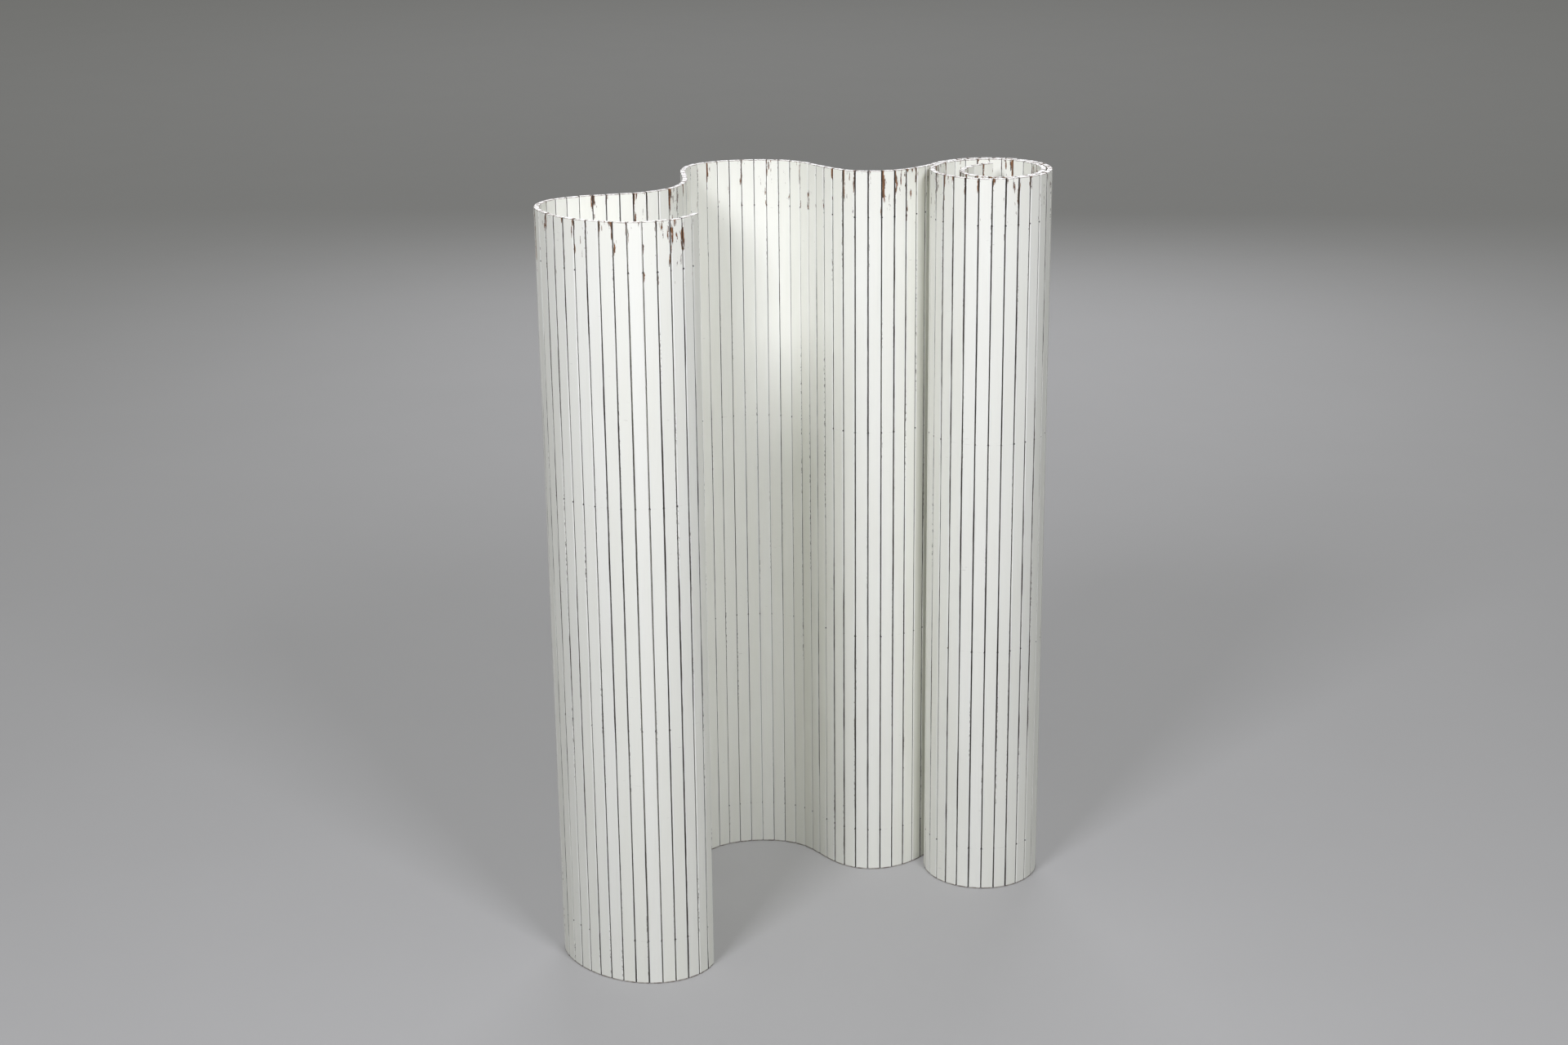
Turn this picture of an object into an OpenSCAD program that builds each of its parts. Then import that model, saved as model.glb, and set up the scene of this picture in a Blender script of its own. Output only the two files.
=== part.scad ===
// Flexible wooden slat screen standing on its ends: a strip of narrow upright
// slats strung on four cables, set as in the photograph. From the free end at
// the front left it curls into a C, doubles back in an S, waves to the right
// and ends in a standing roll.
// Units are millimetres. +X is right, +Y is back, +Z is up, as the photograph
// shows it. The origin is under the middle of the plan at floor level.

/* [Slats] */

// Height of a slat
slat_h = 1000; // [850:10:1200]
// Width of a slat across its face
slat_w = 16; // [14:0.5:18]
// Thickness of a slat
slat_t = 6.5; // [5.5:0.1:8]
// Radius of a slat's long edges
edge_r = 1; // [0.5:0.1:1.5]
// Number of slats in the strip
slat_count = 116; // [110:1:120]

/* [Cables] */

// Diameter of a cable
cable_d = 1.5; // [1:0.1:1.8]
// Play of a cable in its holes, on the diameter
cable_play = 0.7; // [0.5:0.1:1]
// Distance from each end of a slat to its nearest cable
cable_margin = 61; // [45:1:80]
// Outside diameter of the sleeve pressed on a cable's end
sleeve_d = 3.2; // [2.8:0.1:3.4]
// Length of that sleeve
sleeve_l = 6; // [5:0.5:8]

/* [Bends] */

// Angle at which the edges of two neighbouring slats meet
bend_limit = 24; // [22:0.5:28]
// Radius of the roll's outer turn, at mid thickness
roll_r = 82; // [78:1:92]
// Gap between two turns of the roll
wrap_gap = 1.6; // [1.4:0.1:2.5]

/* [Hidden] */

$fn = 48;

// joints 1 to 61 of the loose strip: [joint, bend in degrees], + turns left
// on the way from the free end to the roll; joints between two rows are
// interpolated
strip_bends = [
  [1, -14.5], [10, -6.5], [13, -7], [18, -18.5], [23, -1], [26, 12],
  [30, 10.5], [34, 1], [38, -16.5], [43, -6.5], [48, -13], [50, 0],
  [54, 16.5], [61, 5]
];
strip_joints = 61;
start_heading = 246.25;

// the inner end of the roll turns tighter, then eases
tail_spare = 4;
tail_bend = bend_limit - tail_spare;
tail_full = 7;
tail_ease = 3;
roll_joints = slat_count - 1 - strip_joints - tail_full - tail_ease;

// a joint turns about the middle of its gap, at mid thickness; the gap is
// what the rounded edges need to reach bend_limit
half_limit = bend_limit / 2;
flat_half = slat_t / 2 - edge_r;
joint_gap = 2 * ((edge_r + flat_half * sin(half_limit)) / cos(half_limit) - edge_r);
pitch = slat_w + joint_gap;
turn_pitch = slat_t + wrap_gap;

function roll_bend(turned) = 2 * asin(pitch / 2 / (roll_r - turn_pitch * turned / 360));

// bends[k] is the bend at joint k, between slats k - 1 and k
bends = concat(
  [0],
  [for (k = [1 : strip_joints]) lookup(k, strip_bends)],
  [for (i = 0, t = 0; i < roll_joints; t = t + roll_bend(t), i = i + 1) -roll_bend(t)],
  [for (i = [1 : tail_full]) -tail_bend],
  [for (i = [1 : tail_ease]) -tail_bend * (6 - i) / 6]
);

function bend(k) = k < slat_count ? bends[k] : 0;
heading = [for (k = 0, a = start_heading; k < slat_count; k = k + 1, a = a + bend(k)) a];
function step(k) =
  let (a = heading[min(k, slat_count - 1)]) pitch * [cos(a), sin(a)];
raw_joint = [for (k = 0, p = [0, 0]; k <= slat_count; p = p + step(k), k = k + 1) p];

// plan size, taken over the centres of the slats' edge radii
edge_x = slat_w / 2 - edge_r;
edge_c = [
  for (k = [0 : slat_count - 1], sx = [-1, 1], sy = [-1, 1])
    let (u = [cos(heading[k]), sin(heading[k])], n = [-u[1], u[0]])
      (raw_joint[k] + raw_joint[k + 1]) / 2 + sx * edge_x * u + sy * flat_half * n
];
plan_mid = [
  (min([for (c = edge_c) c[0]]) + max([for (c = edge_c) c[0]])) / 2,
  (min([for (c = edge_c) c[1]]) + max([for (c = edge_c) c[1]])) / 2
];
joint = [for (p = raw_joint) p - plan_mid];

cable_span = (slat_h - 2 * cable_margin) / 3;
cable_z = [for (i = [0 : 3]) cable_margin + i * cable_span];
cable_bore = cable_d + cable_play;
// play of a sleeve on its cable and in its pocket, on the diameter
sleeve_play = 0.1;
pocket_play = 0.4;
sleeve_bore = cable_d + sleeve_play;
pocket_d = sleeve_d + pocket_play;
recess = 0.5;

// 54 groups of neighbouring slats that stay in one piece: pairs, with the
// triples that use up the rest at the start of the roll
group_count = 54;
first_triple = 31;
triples = slat_count - 2 * group_count;
function first_slat(g) = 2 * g + max(0, min(g - first_triple, triples));
function two(n) = n < 10 ? str("0", n) : str(n);
function group_node(g) = str("slats_", two(g + 1));

paint = [0.87, 0.86, 0.82];
steel = [0.42, 0.41, 0.39];
alloy = [0.62, 0.61, 0.58];

// a slat's section, lying along X
module section() {
  square([slat_w - 2 * edge_r, slat_t], center = true);
  square([slat_w, slat_t - 2 * edge_r], center = true);
  for (sx = [-1, 1], sy = [-1, 1])
    translate([sx * edge_x, sy * flat_half]) circle(r = edge_r);
}

module along_x(d, from, to) {
  translate([from, 0, 0]) rotate([0, 90, 0]) cylinder(d = d, h = to - from);
}

module at_slat(k) {
  m = (joint[k] + joint[k + 1]) / 2;
  translate([m[0], m[1], 0]) rotate([0, 0, heading[k]]) children();
}

// which = -1 for the slat at the free end, 1 at the roll's end, 0 between
module slat(which) {
  difference() {
    linear_extrude(height = slat_h) section();
    for (z = cable_z) translate([0, 0, z]) {
      along_x(cable_bore, -slat_w, slat_w);
      if (which != 0)
        rotate([0, 0, which > 0 ? 0 : 180])
          along_x(pocket_d, slat_w / 2 - recess - sleeve_l, slat_w);
    }
  }
}

module slats(g) {
  color(paint)
    for (k = [first_slat(g) : first_slat(g + 1) - 1])
      at_slat(k) slat(k == 0 ? -1 : k == slat_count - 1 ? 1 : 0);
}

// an eight-sided cable through all the joints, mitred where it turns
sides = 8;
end_in = joint_gap / 2 + recess;
function mitre(k) =
  k == 0 ? heading[0] :
  k == slat_count ? heading[slat_count - 1] :
  (heading[k - 1] + heading[k]) / 2;
function spread(k) = k == 0 || k == slat_count ? 1 : 1 / cos(bends[k] / 2);
function on_path(k) =
  k == 0 ? joint[0] + end_in * [cos(heading[0]), sin(heading[0])] :
  k == slat_count ?
    joint[k] - end_in * [cos(heading[k - 1]), sin(heading[k - 1])] :
  joint[k];

module cable(z) {
  rings = [
    for (k = [0 : slat_count], i = [0 : sides - 1])
      let (p = on_path(k), m = mitre(k), a = (i + 0.5) * 360 / sides,
           q = cable_d / 2 * cos(a) * spread(k))
        [p[0] - q * sin(m), p[1] + q * cos(m), z + cable_d / 2 * sin(a)]
  ];
  last = slat_count * sides;
  walls = [
    for (k = [0 : slat_count - 1], i = [0 : sides - 1], t = [0, 1])
      let (a = k * sides + i, b = k * sides + (i + 1) % sides)
        t == 0 ? [a, b, b + sides] : [a, b + sides, a + sides]
  ];
  caps = [
    for (i = [1 : sides - 2], e = [0, 1])
      e == 0 ? [0, i + 1, i] : [last, last + i, last + i + 1]
  ];
  color(steel) polyhedron(points = rings, faces = concat(walls, caps));
}

// the four sleeves at one end of the strip
module sleeves(which) {
  color(alloy)
    for (z = cable_z)
      at_slat(which > 0 ? slat_count - 1 : 0) translate([0, 0, z])
        rotate([0, 0, which > 0 ? 0 : 180]) difference() {
          along_x(sleeve_d, slat_w / 2 - recess - sleeve_l, slat_w / 2 - recess);
          along_x(sleeve_bore, 0, slat_w);
        }
}

for (g = [0 : group_count - 1])
  slats(g);
cable(cable_z[3]);  // top_cable
cable(cable_z[2]);  // upper_cable
cable(cable_z[1]);  // lower_cable
cable(cable_z[0]);  // bottom_cable
sleeves(-1);  // free_end_sleeves
sleeves(1);  // roll_end_sleeves
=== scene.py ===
import math
import bmesh
import bpy
import numpy as np
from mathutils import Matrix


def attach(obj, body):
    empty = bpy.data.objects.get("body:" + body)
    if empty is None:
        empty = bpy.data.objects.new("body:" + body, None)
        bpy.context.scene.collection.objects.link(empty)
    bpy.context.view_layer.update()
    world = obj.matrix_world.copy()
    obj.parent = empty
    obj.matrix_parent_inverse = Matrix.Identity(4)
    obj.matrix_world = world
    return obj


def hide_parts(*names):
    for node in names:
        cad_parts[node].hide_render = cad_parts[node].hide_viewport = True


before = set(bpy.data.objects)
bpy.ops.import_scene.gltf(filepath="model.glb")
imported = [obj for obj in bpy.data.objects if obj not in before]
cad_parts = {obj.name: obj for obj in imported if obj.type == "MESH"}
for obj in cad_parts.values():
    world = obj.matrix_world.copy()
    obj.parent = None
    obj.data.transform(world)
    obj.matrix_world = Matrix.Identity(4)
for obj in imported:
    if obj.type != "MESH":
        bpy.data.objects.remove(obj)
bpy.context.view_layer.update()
scene = bpy.context.scene
scene.view_settings.view_transform = "Standard"

# Slats: 116 machined strips of wood, a metre long, strung side by side with their long edges
# rounded, and painted off-white all round. Two or three neighbours stay together in each movable
# group. The old paint has chipped off the edges, most of all near the tops.

slat_count = 116
slat_high = 1.0
slat_wide = 0.016
slat_thick = 0.0065
edge_r = 0.001
cable_count = 4
cable_margin = 0.061
cable_z = np.linspace(cable_margin, slat_high - cable_margin, cable_count)

# a joint turns about the middle of its gap, which the rounded edges need for the greatest bend
bend_limit = 24.0
meet = math.radians(bend_limit / 2)
flat_half = slat_thick / 2 - edge_r
gap = 2 * ((edge_r + flat_half * math.sin(meet)) / math.cos(meet) - edge_r)
pitch = slat_wide + gap

# bends in degrees from the free end on, + to the left: rows of a joint and its bend for the loose
# strip, worked out in between, then the roll's spiral, then the roll's inner end, which is tighter
# and eases off by sixths
start_heading = 246.25
loose_joints = 61
loose_bends = np.array([
    (1, -14.5), (10, -6.5), (13, -7), (18, -18.5), (23, -1), (26, 12), (30, 10.5), (34, 1),
    (38, -16.5), (43, -6.5), (48, -13), (50, 0), (54, 16.5), (61, 5)])
roll_r = 0.082
wrap_gap = 0.0016
tail_spare = 4.0
tail_bend = tail_spare - bend_limit
tail_full = 7
tail_ease = 3
tail = [tail_bend] * tail_full + [tail_bend * (6 - i) / 6 for i in range(1, tail_ease + 1)]

bends = list(np.interp(np.arange(1, loose_joints + 1), loose_bends[:, 0], loose_bends[:, 1]))
turned = 0.0
while len(bends) < slat_count - 1 - len(tail):
    turn_r = roll_r - (slat_thick + wrap_gap) * turned / 360
    turn = math.degrees(2 * math.asin(pitch / 2 / turn_r))
    bends.append(-turn)
    turned += turn
bends = np.array(bends + tail)

# the plan of the strip: each slat's direction, the joints on either side of it and its centre,
# about the middle of the box round them all
heading = np.radians(start_heading + np.r_[0, np.cumsum(bends)])
along = np.c_[np.cos(heading), np.sin(heading)]
across = np.c_[-along[:, 1], along[:, 0]]
joint = pitch * np.r_[np.zeros((1, 2)), np.cumsum(along, 0)]
centre = (joint[:-1] + joint[1:]) / 2
arcs = np.concatenate([centre + a * (slat_wide / 2 - edge_r) * along + b * flat_half * across
                       for a in (-1, 1) for b in (-1, 1)])
plan_mid = (arcs.min(0) + arcs.max(0)) / 2
plan_half = (arcs.max(0) - arcs.min(0)) / 2
joint = joint - plan_mid
centre = centre - plan_mid

# the first slat of each group: the groups are pairs, with the triples that use up the rest from
# the start of the roll
group_count = 54
first_triple = 31
triples = slat_count - 2 * group_count
first = [2 * g + max(0, min(g - first_triple, triples)) for g in range(group_count + 1)]


class Wire:
    """One output of a shader. Arithmetic on it adds Math nodes."""

    def __init__(self, tree, socket):
        self.tree, self.socket = tree, socket

    def node(self, kind, inputs=None, out=0, **settings):
        """Adds a node of that type, sets its settings, then its sockets, and gives back one output."""
        n = self.tree.nodes.new(kind)
        for name, value in settings.items():
            setattr(n, name, value)
        for key, value in (inputs or {}).items():
            if isinstance(value, Wire):
                self.tree.links.new(value.socket, n.inputs[key])
            else:
                n.inputs[key].default_value = value
        return Wire(self.tree, n.outputs[out])

    def maths(self, op, *rest):
        return self.node("ShaderNodeMath", dict(enumerate((self,) + rest)), operation=op)

    def __add__(self, other):
        return self.maths("ADD", other)

    def __sub__(self, other):
        return self.maths("SUBTRACT", other)

    def __rsub__(self, other):
        return self.maths("MULTIPLY_ADD", -1.0, other)

    def __mul__(self, other):
        return self.maths("MULTIPLY", other)

    def __pow__(self, other):
        return self.maths("POWER", other)

    def __abs__(self):
        return self.maths("ABSOLUTE")

    __radd__, __rmul__ = __add__, __mul__

    def least(self, other):
        return self.maths("MINIMUM", other)

    def most(self, other):
        return self.maths("MAXIMUM", other)

    def step(self, start, end):
        """A smooth step: 0 at start, 1 at end, whichever of the two is the larger."""
        return self.node("ShaderNodeMapRange", {0: self, 1: start, 2: end, 3: 0.0, 4: 1.0},
                         interpolation_type="SMOOTHSTEP")

    def between(self, a, b):
        """Colour a where this is 0, colour b where it is 1."""
        ends = [c if isinstance(c, Wire) else (*c, 1) for c in (a, b)]
        return self.node("ShaderNodeMix", {0: self, 6: ends[0], 7: ends[1]}, out=2, data_type="RGBA")

    def scaled(self, x, y, z):
        """This place with each of its axes multiplied, so that a pattern on it is drawn out or packed."""
        return self.node("ShaderNodeVectorMath", {0: self, 1: (x, y, z)}, operation="MULTIPLY")

    def noise(self, scale, detail=3.0, rough=0.55):
        """Cloudy noise at this place, mostly between a third and two thirds."""
        return self.node("ShaderNodeTexNoise", {"Vector": self, "Scale": scale, "Detail": detail,
                                                "Roughness": rough})

    def parts(self):
        """The three numbers of this place."""
        split = self.node("ShaderNodeSeparateXYZ", {0: self})
        return [Wire(self.tree, s) for s in split.socket.node.outputs]

    def bump(self, depth, strength):
        """The surface's direction where this is its height, in units of that depth."""
        return self.node("ShaderNodeBump", {"Strength": strength, "Distance": depth, "Height": self})


def new_material(name):
    """An empty material, a wire to start from and its shader."""
    material = bpy.data.materials.new(name)
    material.use_nodes = True
    return material, Wire(material.node_tree, None), material.node_tree.nodes["Principled BSDF"]


def feed(shader, **sockets):
    """Links wires, or sets plain values, on the shader's own sockets."""
    for name, value in sockets.items():
        socket = shader.inputs[name.replace("_", " ")]
        if isinstance(value, Wire):
            value.tree.links.new(value.socket, socket)
        else:
            socket.default_value = value


# the paint's whites, the wood under it, the dirt on it, and the painted highlight and painted shade on it
dull_white = (0.872, 0.876, 0.790)
clear_white = (0.900, 0.903, 0.828)
aged_white = (0.80, 0.795, 0.69)
run_grey = (0.66, 0.65, 0.60)
highlight_white = (0.93, 0.93, 0.91)
broken_white = (0.95, 0.93, 0.88)
brown_wood = (0.25, 0.112, 0.045)
dark_wood = (0.075, 0.043, 0.027)
pale_end = (0.58, 0.52, 0.44)
brown_end = (0.22, 0.145, 0.095)
scuff_grey = (0.33, 0.31, 0.27)
speck_brown = (0.11, 0.092, 0.070)
dirt_and_foot_shade_brown = (0.17, 0.135, 0.105)
grime_and_shade_brown = (0.080, 0.066, 0.050)
stain_black = (0.020, 0.016, 0.014)
hole_shade_black = (0.008, 0.007, 0.006)


def painted_wood():
    """Off-white lacquer on brown wood, worn along the slat's edges, with a painted highlight on the rounded
    edges and painted shade in the joints, in the cable holes and round the foot. It reads the place in the
    slat's
    own axes: x across its face, y through it, z up. Distances are in millimetres where named so."""
    material, start, shader = new_material("painted_slats")
    own = start.node("ShaderNodeAttribute", out="Vector", attribute_name="own_place")
    tag = start.node("ShaderNodeAttribute", out="Fac", attribute_name="slat_tag")
    x, y, z = own.parts()

    # each slat reads the patterns at a place of its own
    apart = (17.0, 5.3, 41.0)
    shift = tag.node("ShaderNodeCombineXYZ", {axis: tag * far for axis, far in enumerate(apart)})
    p = own.node("ShaderNodeVectorMath", {0: own, 1: shift}, operation="ADD")

    # how far a point is from the slat's side, and how near to its ends
    side_mm = (slat_wide / 2 - abs(x)) * 1000.0
    near_top = z.step(0.88 * slat_high, 0.99 * slat_high)
    very_top = z.step(0.965 * slat_high, 0.9995 * slat_high)
    near_foot = z.step(0.05 * slat_high, 0.0)

    # the paint: a slightly different white on each slat, with faint runs, and yellower in clouds
    # and near the top
    runs = p.scaled(1, 1, 0.05).noise(420.0, 4.0)
    cloud = p.scaled(1, 1, 0.25).noise(28.0, 2.0)
    paint = tag.between(dull_white, clear_white)
    paint = (cloud.step(0.35, 0.75) * 0.28).most(near_top * 0.30).between(paint, aged_white)
    paint = (runs.step(0.50, 0.85) * 0.10).between(paint, run_grey)

    # grime and painted shade deep in the joints between the slats, nearer to the face along some edges than
    # others, and a lighter line just beside it, a painted highlight on the rounded edges
    wander = p.scaled(1, 1, 0.12).noise(160.0, 4.0, 0.65)
    heavy = p.scaled(1, 1, 0.04).noise(60.0, 1.0).step(0.40, 0.58)
    deep_mm = (slat_thick / 2 - abs(y)) * 1000.0
    grime_and_shade = (deep_mm + heavy * 1.2 + (wander - 0.5) * 0.9).step(1.15, 1.75) * side_mm.step(0.55, 0.35)
    grime_and_shade = grime_and_shade * (0.60 + wander.step(0.40, 0.62) * 0.38)
    edge_highlight = side_mm.step(1.6, 0.9) * side_mm.step(0.1, 0.6) * 0.45

    # broken rows of dark specks beside some of the joints
    row = p.scaled(1, 1, 0.07).noise(75.0, 1.0)
    speck = p.scaled(1, 1, 0.30).noise(780.0, 2.0)
    specks = speck.step(0.55, 0.60) * side_mm.step(1.1, 0.5) * row.step(0.60, 0.66) * 0.80

    # small stains where the cables leave the edges, a faint line between them, and painted shade for the
    # holes' mouths
    up_mm = abs(z - cable_z[0])
    for h in cable_z[1:]:
        up_mm = up_mm.least(abs(z - h))
    up_mm = up_mm * 1000.0
    corner_mm = (side_mm * side_mm + up_mm * up_mm * 0.4) ** 0.5
    stain = corner_mm.step(0.80, 0.45) * p.noise(75.0, 1.0).step(0.44, 0.50) * 0.94
    faint = up_mm.step(0.6, 0.1) * z.step(0.90 * slat_high, 0.88 * slat_high)
    faint = faint * p.noise(90.0, 1.0).step(0.54, 0.68) * 0.15
    hole_mm = ((y * y * 1e6) + up_mm * up_mm) ** 0.5
    hole_shade = hole_mm.step(1.25, 1.05) * side_mm.step(0.30, 0.15)

    # chips: narrow flakes of paint gone from the edges, split along the grain, brown wood inside,
    # and thickest near the tops
    flakes = p.scaled(1, 1, 0.14).noise(320.0, 4.0, 0.62)
    split = p.scaled(1, 1, 0.06).noise(1300.0, 2.0) - 0.5
    patch = p.scaled(1, 1, 0.3).noise(40.0, 1.0).step(0.46, 0.62)
    need = 0.812 - near_top * 0.040 - very_top * 0.046 - near_foot * 0.022
    need = need - side_mm.step(3.5, 0.2) * (0.044 + near_top * 0.096) - patch * (0.015 + near_top * 0.150)
    over = flakes + split * 0.18 - need
    chip = over.step(0.0, 0.012)
    rim = over.step(-0.016, 0.0) * (1 - chip)
    wood = p.scaled(1, 1, 0.08).noise(900.0, 2.0)
    core = over.step(0.006, 0.034) * wood.step(0.36, 0.60)
    bare = core.between(dark_wood, brown_wood)

    # thin scuffs across the faces
    scuffs = p.scaled(0.12, 0.12, 1.0).noise(520.0, 2.0).step(0.735, 0.76)
    scuffs = scuffs * p.noise(11.0, 1.0).step(0.52, 0.62) * 0.35

    # the sawn ends, where the paint has rubbed off the grain, the dirty corners round the top, and a dark
    # line round the foot that is partly dirt and partly painted shade where the slats stand on the floor
    end = z.step(slat_high - 0.0006, slat_high - 0.0002).most(z.step(0.0006, 0.0002))
    grain = p.scaled(1, 1, 0.05).noise(1500.0, 3.0)
    sawn = grain.step(0.48, 0.62).between(pale_end, brown_end)
    worn_end = end * p.noise(260.0, 2.0).step(0.46, 0.60)
    dirt_and_foot_shade = z.step(slat_high - 0.0009, slat_high - 0.0005) * z.step(slat_high, slat_high - 0.0001)
    uneven = p.noise(180.0, 3.0).step(0.40, 0.60)
    dirt_and_foot_shade = (dirt_and_foot_shade * (0.35 + uneven * 0.55)).most(z.step(0.0023, 0.0012) * (0.60 + uneven * 0.35))

    # one over the other, the lowest first
    colour = faint.most(scuffs).between(paint, scuff_grey)
    # a painted highlight on the rounded edges
    colour = edge_highlight.between(colour, highlight_white)
    colour = specks.between(colour, speck_brown)
    colour = stain.between(colour, stain_black)
    colour = (rim * 0.55).between(colour, broken_white)
    colour = worn_end.between(colour, sawn)
    # dirty top corners, and the foot's line of dirt and painted shade
    colour = dirt_and_foot_shade.between(colour, dirt_and_foot_shade_brown)
    colour = chip.between(colour, bare)
    # grime and painted shade in the joints
    colour = grime_and_shade.between(colour, grime_and_shade_brown)
    # painted shade in the holes' mouths
    colour = hole_shade.between(colour, hole_shade_black)

    rough = 0.34 + cloud * 0.16 + chip.most(grime_and_shade) * 0.35
    height = runs * 0.10 + cloud * 0.10 - chip + rim * 0.20 - hole_shade * 1.5 - worn_end * grain * 0.5
    feed(shader, Base_Color=colour, Roughness=rough, Normal=height.bump(0.0002, 0.55),
         Specular_IOR_Level=0.45)
    return material


edge_steps = 3


def slat_section():
    """A slat's section: a rectangle whose four corners are quarter circles, walked anticlockwise as
    seen from above."""
    swing = np.linspace(0, np.pi / 2, edge_steps + 1)
    corners = [(1, 1, 0), (-1, 1, 1), (-1, -1, 2), (1, -1, 3)]
    return np.concatenate([np.c_[sx * (slat_wide / 2 - edge_r) + edge_r * np.cos(swing + q * np.pi / 2),
                                 sy * flat_half + edge_r * np.sin(swing + q * np.pi / 2)]
                           for sx, sy, q in corners])


def bar(levels, inset, twist, k):
    """The section carried up through the levels, each pulled in by its inset: a point is the section's
    point, scaled so, turned by twist about the slat's own axis and set at slat k. Gives back the
    places in the part's frame and in the slat's own."""
    ring = slat_section()
    reach = np.abs(ring).max(0)
    own = np.stack([np.c_[ring * (1 - i / reach), np.full(len(ring), h)] for h, i in zip(levels, inset)])
    c, s = math.cos(twist), math.sin(twist)
    px = own[..., 0] * c - own[..., 1] * s
    py = own[..., 0] * s + own[..., 1] * c
    plan = centre[k] + px[..., None] * along[k] + py[..., None] * across[k]
    return np.concatenate([plan, own[..., 2:]], -1), own


def tube_faces(rows, n, start):
    """Quads between neighbouring rings of n points and a lid on each end, all facing outwards, where
    start is the first ring's first point."""
    a = start + np.arange(rows - 1)[:, None] * n + np.arange(n)
    b = start + np.arange(rows - 1)[:, None] * n + (np.arange(n) + 1) % n
    walls = np.stack([a, b, b + n, a + n], -1).reshape(-1, 4).tolist()
    last = start + (rows - 1) * n
    return walls + [list(range(start, start + n))[::-1], list(range(last, last + n))]


# an edge that turns by more degrees than this is shown sharp
sharp_turn = 35


def soften(mesh, sharp=sharp_turn):
    """Shades the mesh smooth, but for its sharp edges."""
    mesh.shade_smooth()
    mesh.set_sharp_from_angle(angle=math.radians(sharp))


def make_piece(name, verts, faces, material, sharp=sharp_turn):
    """A mesh object with its place in its mesh."""
    mesh = bpy.data.meshes.new(name)
    mesh.from_pydata(np.asarray(verts).reshape(-1, 3).tolist(), [], faces)
    soften(mesh, sharp)
    mesh.materials.append(material)
    piece = bpy.data.objects.new(name, mesh)
    scene.collection.objects.link(piece)
    return piece


def store(mesh, name, values):
    """Keeps a place or a number for each of the mesh's points, for its material to read."""
    kind, field = ("FLOAT", "value") if values.ndim == 1 else ("FLOAT_VECTOR", "vector")
    kept = mesh.attributes.new(name, kind, "POINT")
    kept.data.foreach_set(field, np.ascontiguousarray(values, np.float32).ravel())


# points of a solid's triangles that are closer than this are one point
same_point = 1e-6


def drilled_group(node, ks):
    """A painted copy of an end group's solids, which have the cables' holes and the sleeves' pockets."""
    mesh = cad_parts[node].data.copy()
    bm = bmesh.new()
    bm.from_mesh(mesh)
    bmesh.ops.remove_doubles(bm, verts=bm.verts, dist=same_point)
    bm.to_mesh(mesh)
    bm.free()
    soften(mesh)
    mesh.materials.clear()
    mesh.materials.append(lacquer)
    points = np.zeros(len(mesh.vertices) * 3, np.float32)
    mesh.vertices.foreach_get("co", points)
    points = points.reshape(-1, 3)
    far = np.stack([np.hypot(*(points[:, :2] - centre[k]).T) for k in ks])
    k = np.array(ks)[far.argmin(0)]
    out = points[:, :2] - centre[k]
    store(mesh, "own_place", np.c_[(out * along[k]).sum(1), (out * across[k]).sum(1), points[:, 2]])
    store(mesh, "slat_tag", slat_tag[k])
    piece = bpy.data.objects.new(node + "_painted", mesh)
    scene.collection.objects.link(piece)
    return piece


# how far the corners of a slat's ends are taken off, with a step on the way at the top
foot_corner = 0.0004
top_corner = 0.0005
top_step = 0.00015

# rings part way up, so that no face is as long as the slat
part_way = [0.10, 0.35, 0.65, 0.90]

slat_sharp = 50


def plain_group(node, ks):
    """The slats of a group, each a bar with its ends' corners taken off, a little short and turned."""
    verts, owns, faces, tags = [], [], [], []
    inset = [foot_corner, 0] + [0] * len(part_way) + [0, top_step, top_corner]
    for k in ks:
        top = slat_high - slat_low[k]
        levels = [0, foot_corner] + part_way + [top - top_corner, top - top_step, top]
        v, own = bar(levels, inset, slat_twist[k], k)
        # the paint finds the top at the slat's full height
        own[-3:, :, 2] += slat_low[k]
        faces += tube_faces(len(levels), v.shape[1], sum(len(u) for u in verts))
        verts.append(v.reshape(-1, 3))
        owns.append(own.reshape(-1, 3))
        tags.append(np.full(len(verts[-1]), slat_tag[k]))
    piece = make_piece(node + "_painted", np.concatenate(verts), faces, lacquer, slat_sharp)
    store(piece.data, "own_place", np.concatenate(owns))
    store(piece.data, "slat_tag", np.concatenate(tags))
    return piece


# slats that aren't bent hard against a neighbour, or at the plan's sides, are turned a little in
# their joints, and their tops aren't quite in line
most_twist = math.radians(0.8)
most_short = 0.0005
hand_seed = 11
hand = np.random.default_rng(hand_seed)
slat_tag = hand.random(slat_count)
slack = 1 - np.abs(np.r_[bends[0], bends]) / bend_limit
slack = np.minimum(slack, np.r_[slack[1:], slack[-1]])
slat_twist = most_twist * hand.uniform(-1, 1, slat_count) * np.clip(slack, 0, 1)
slat_twist *= (plan_half - np.abs(centre)).min(1) > slat_wide / 2
slat_low = hand.uniform(0, most_short, slat_count)

lacquer = painted_wood()
for g in range(group_count):
    node = "slats_%02d" % (g + 1)
    make_group = drilled_group if g in (0, group_count - 1) else plain_group
    piece = make_group(node, range(first[g], first[g + 1]))
    # the broad faces stay flat in the light, which turns only over the rounded edges
    weigh = piece.modifiers.new("face_weight", "WEIGHTED_NORMAL")
    weigh.keep_sharp = True
    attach(piece, "group_%02d" % (g + 1))
    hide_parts(node)

# Cables: four thin stranded steel wires that cross the whole strip through a hole in each slat. A
# length of each rides in every group and turns on the next one in the middle of the joint, so that
# the wires bend with the strip.

cable_r = 0.00075
recess = 0.0005
cable_sharp = 60

# the strands' lines: how many lie round a cable, and how far along it their wave takes to move on
# by a radian
strand_count = 12
strand_lay = 0.0011

clean_steel = (0.34, 0.33, 0.31)
strand_shade = (0.060, 0.052, 0.045)
cable_dark_brown = (0.060, 0.045, 0.034)


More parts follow.
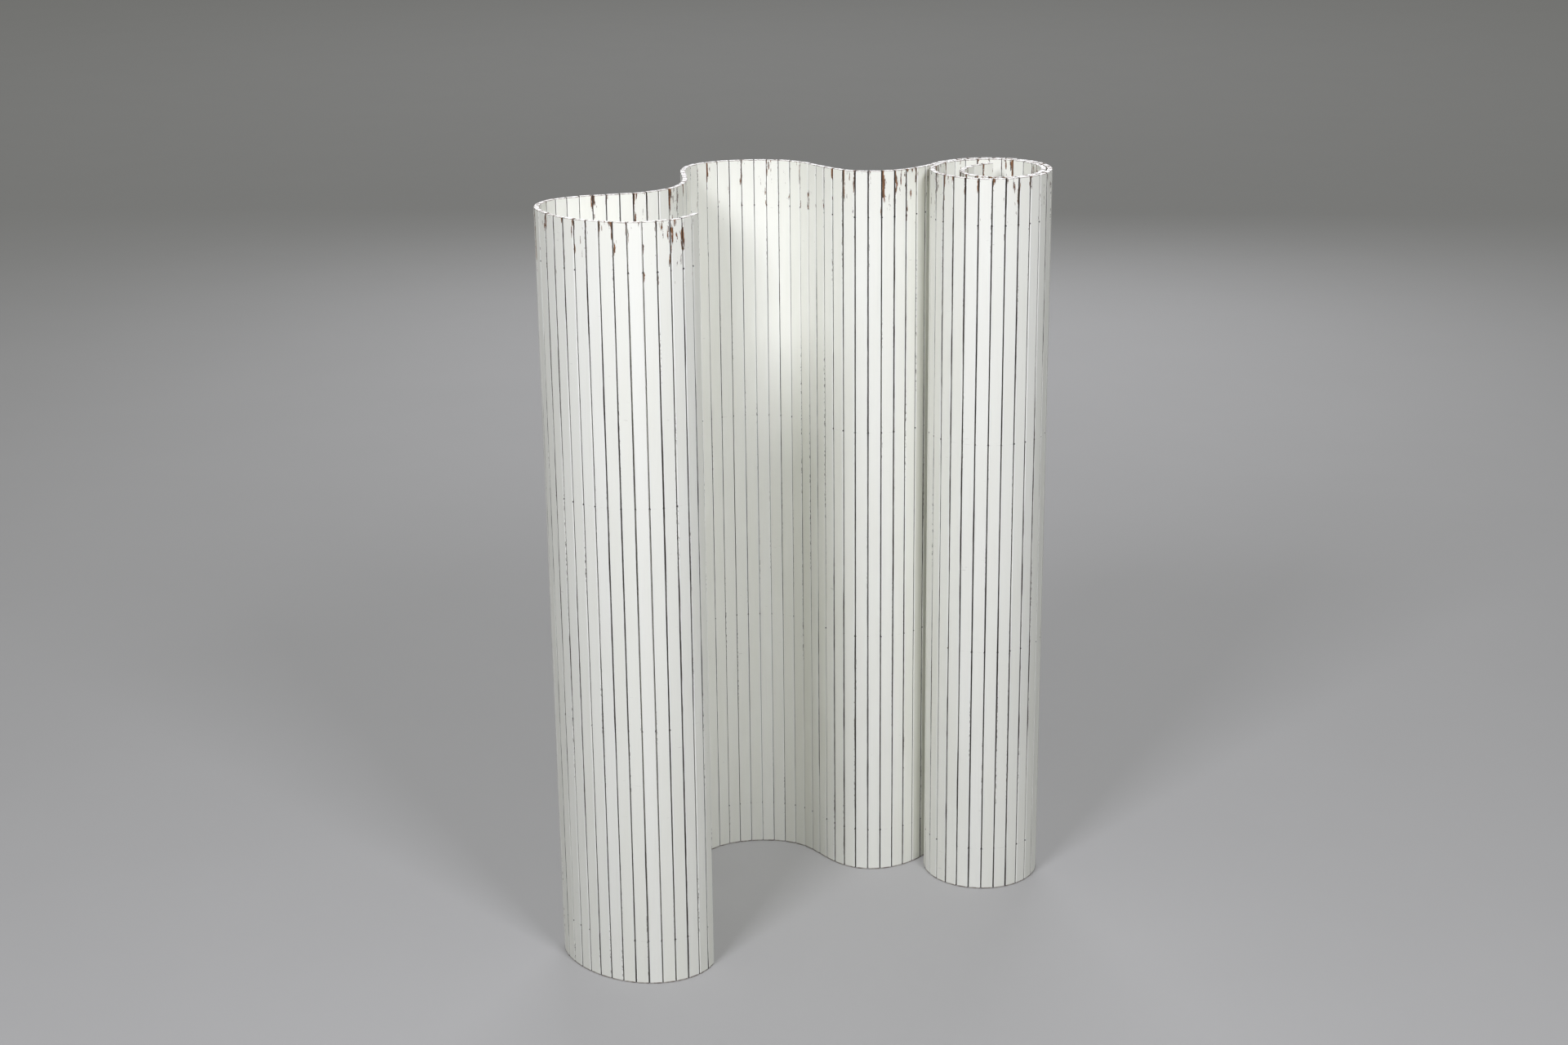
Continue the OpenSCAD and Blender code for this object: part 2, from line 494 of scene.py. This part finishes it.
def dull_wire():
    """Dull grey steel, with painted shade in the slanting grooves between its strands, and dark brown
    patches along it.
    """
    material, start, shader = new_material("cable")
    own = start.node("ShaderNodeAttribute", out="Vector", attribute_name="along_wire")
    turn, run, _ = own.parts()
    strand = abs((turn * (strand_count / 2) + run * (1 / strand_lay)).maths("SINE"))
    dark_patch = own.scaled(1, 90, 1).noise(4.0)
    # painted shade in the grooves between the strands
    colour = strand.step(0.15, 0.75).between(strand_shade, clean_steel)
    # dark brown patches along the wire
    colour = (dark_patch.step(0.36, 0.60) * 0.85).between(colour, cable_dark_brown)
    feed(shader, Base_Color=colour, Roughness=0.42 + dark_patch * 0.25, Metallic=0.85,
         Normal=strand.bump(0.0001, 0.6))
    return material


# the points round a cable, and the angles from its tip of the rings on a rounded end
cable_sides = 8
tip_angles = np.radians([12, 40, 65])


def wire_length(path, radius, round_start, round_end):
    """A tube round a flat path: a ring at each point, square to the mean of the directions on its two
    sides and stretched there so that the tube keeps its width. A rounded end shrinks as a half
    circle over the rings past the last point; a cut end is a flat lid. Gives back the places, and
    for each its angle round the cable and its distance along it."""
    step = np.diff(path, axis=0)
    step /= np.linalg.norm(step, axis=1)[:, None]
    way = np.r_[step[:1], step[:-1] + step[1:], step[-1:]]
    way /= np.linalg.norm(way, axis=1)[:, None]
    stretch = 1 / np.r_[1, (way[1:-1] * step[1:]).sum(1), 1]

    # each ring's middle, direction, radius and stretch
    rings = [(path[0] - way[0] * radius * np.cos(t), way[0], radius * np.sin(t), 1)
             for t in tip_angles if round_start]
    rings += [(p, d, radius, s) for p, d, s in zip(path, way, stretch)]
    rings += [(path[-1] + way[-1] * radius * np.cos(t), way[-1], radius * np.sin(t), 1)
              for t in tip_angles[::-1] if round_end]

    turn = (np.arange(cable_sides) + 0.5) * 2 * np.pi / cable_sides
    out, marks, run = [], [], 0.0
    for i, (p, d, r, s) in enumerate(rings):
        run += np.linalg.norm(p - rings[i - 1][0]) if i else 0
        out.append(np.c_[p + r * np.cos(turn)[:, None] * np.array([-d[1], d[0]]) * s, r * np.sin(turn)])
        marks.append(np.c_[turn, np.full(cable_sides, run), np.zeros(cable_sides)])
    return np.stack(out), np.stack(marks)


wire = dull_wire()
end_in = gap / 2 + recess
for g in range(group_count):
    path = joint[first[g]:first[g + 1] + 1].copy()
    if g == 0:
        path[0] += end_in * along[0]
    if g == group_count - 1:
        path[-1] -= end_in * along[-1]
    tube, marks = wire_length(path, cable_r, g > 0, g < group_count - 1)
    rows, n = tube.shape[:2]
    verts = np.concatenate([(tube + [0, 0, h]).reshape(-1, 3) for h in cable_z])
    faces = sum([tube_faces(rows, n, i * rows * n) for i in range(cable_count)], [])
    piece = make_piece("cables_%02d" % (g + 1), verts, faces, wire, cable_sharp)
    store(piece.data, "along_wire", np.tile(marks.reshape(-1, 3), (cable_count, 1)))
    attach(piece, "group_%02d" % (g + 1))
    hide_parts("top_cable", "upper_cable", "lower_cable", "bottom_cable")

# Sleeves: short soft-metal tubes pressed on the cables' ends and sunk in the outer edges of the two
# end slats. The solids stay and get their finish here.

dark_alloy = (0.36, 0.345, 0.32)
rubbed_alloy = (0.62, 0.61, 0.58)


def pressed_metal():
    """Dull pressed aluminium with rubbed patches."""
    material, start, shader = new_material("sleeve")
    rub = start.node("ShaderNodeTexCoord", out="Object").noise(900.0, 3.0)
    colour = rub.step(0.35, 0.70).between(dark_alloy, rubbed_alloy)
    feed(shader, Base_Color=colour, Roughness=0.35 + rub * 0.3, Metallic=0.9, Normal=rub.bump(0.0001, 0.4))
    return material


metal = pressed_metal()
for node in ("free_end_sleeves", "roll_end_sleeves"):
    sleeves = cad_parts[node]
    sleeves.data.materials.clear()
    sleeves.data.materials.append(metal)

# Camera: at eye height in front of the screen, 2.87 m before the strip's free end and a little to
# its right, looking down on it at 18 degrees and turned by half a degree, as in the photograph.

eye_height = 1.55
stand_off = (0.1009, -2.8666)
tilt = math.radians(18.146)
lean = math.radians(0.596)
focal_px = 2975.8
photo_px = 1920
sensor_mm = 36
far_sight = 200

forward = np.array([0, math.cos(tilt), -math.sin(tilt)])
down = np.array([0, -math.sin(tilt), -math.cos(tilt)])
right = np.array([1, 0, 0])
place = np.eye(4)
place[:3, 0] = math.cos(lean) * right + math.sin(lean) * down
place[:3, 1] = math.sin(lean) * right - math.cos(lean) * down
place[:3, 2] = -forward
place[:3, 3] = *(joint[0] + stand_off), eye_height
camera = bpy.data.objects.new("camera", bpy.data.cameras.new("camera"))
camera.data.sensor_fit = "HORIZONTAL"
camera.data.sensor_width = sensor_mm
camera.data.lens = focal_px / photo_px * sensor_mm
camera.data.clip_end = far_sight
camera.matrix_world = [list(column) for column in place.T]
scene.collection.objects.link(camera)
scene.camera = camera

# Studio: a pale grey floor that runs out of sight, two soft lamps in front of the screen at the
# left and right, a larger one behind it, one over the floor's far end, and an even grey world.

floor_half = 60.0
floor_z = -0.0003
floor_dark = (0.315, 0.313, 0.305)
floor_pale = (0.335, 0.333, 0.325)
floor_glow = (0.10, 0.10, 0.10)
no_glow = (0, 0, 0)
room_light = (0.129, 0.131, 0.108)
room_seen = (0.24, 0.24, 0.24)
lamp_light = (0.91, 0.915, 1.0)


def seen(start):
    """1 on the rays that show a surface to the camera, straight or in gloss or glass, and 0 on the rest."""
    ray = start.node("ShaderNodeLightPath", out="Is Camera Ray")
    kinds = ray.socket.node.outputs
    for kind in ("Is Glossy Ray", "Is Transmission Ray"):
        ray = ray.most(Wire(start.tree, kinds[kind]))
    return ray


floor_paint, start, shader = new_material("studio_floor")
mottle = start.node("ShaderNodeTexCoord", out="Object").noise(3.0, 4.0)
feed(shader, Base_Color=mottle.between(floor_dark, floor_pale), Roughness=0.9,
     Emission_Color=seen(start).between(no_glow, floor_glow), Emission_Strength=1.0)
corners = [(sx * floor_half, sy * floor_half, floor_z) for sx, sy in ((-1, -1), (1, -1), (1, 1), (-1, 1))]
make_piece("studio_floor", corners, [[0, 1, 2, 3]], floor_paint)

world = bpy.data.worlds.new("studio")
world.use_nodes = True
scene.world = world
shade = seen(Wire(world.node_tree, None)).between(room_light, room_seen)
world.node_tree.links.new(shade.socket, world.node_tree.nodes["Background"].inputs["Color"])


def softbox(name, at, aim, size, watts):
    """A square lamp of faintly cool light that faces the point it is aimed at."""
    lamp = bpy.data.objects.new(name, bpy.data.lights.new(name, "AREA"))
    lamp.data.shape = "SQUARE"
    lamp.data.size = size
    lamp.data.energy = watts
    lamp.data.color = lamp_light
    at, aim = np.array(at, float), np.array(aim, float)
    z = (at - aim) / np.linalg.norm(at - aim)
    x = np.cross((0, 0, 1), z)
    x /= np.linalg.norm(x)
    m = np.eye(4)
    m[:3, 0], m[:3, 1], m[:3, 2], m[:3, 3] = x, np.cross(z, x), z, at
    scene.collection.objects.link(lamp)
    lamp.matrix_world = [list(column) for column in m.T]


softbox("left_lamp", at=(-1.2, -2.15, 2.55), aim=(0, 0, 0.9), size=0.75, watts=60)
softbox("right_lamp", at=(1.15, -2.2, 2.55), aim=(0, 0, 0.9), size=0.75, watts=54.5)
softbox("back_lamp", at=(0.3, 3.8, 2.5), aim=(0, 0, 0.6), size=2.5, watts=67)
softbox("backdrop_lamp", at=(0, 9.0, 4.0), aim=(0.01, 9.0, 0), size=5.0, watts=38.8)
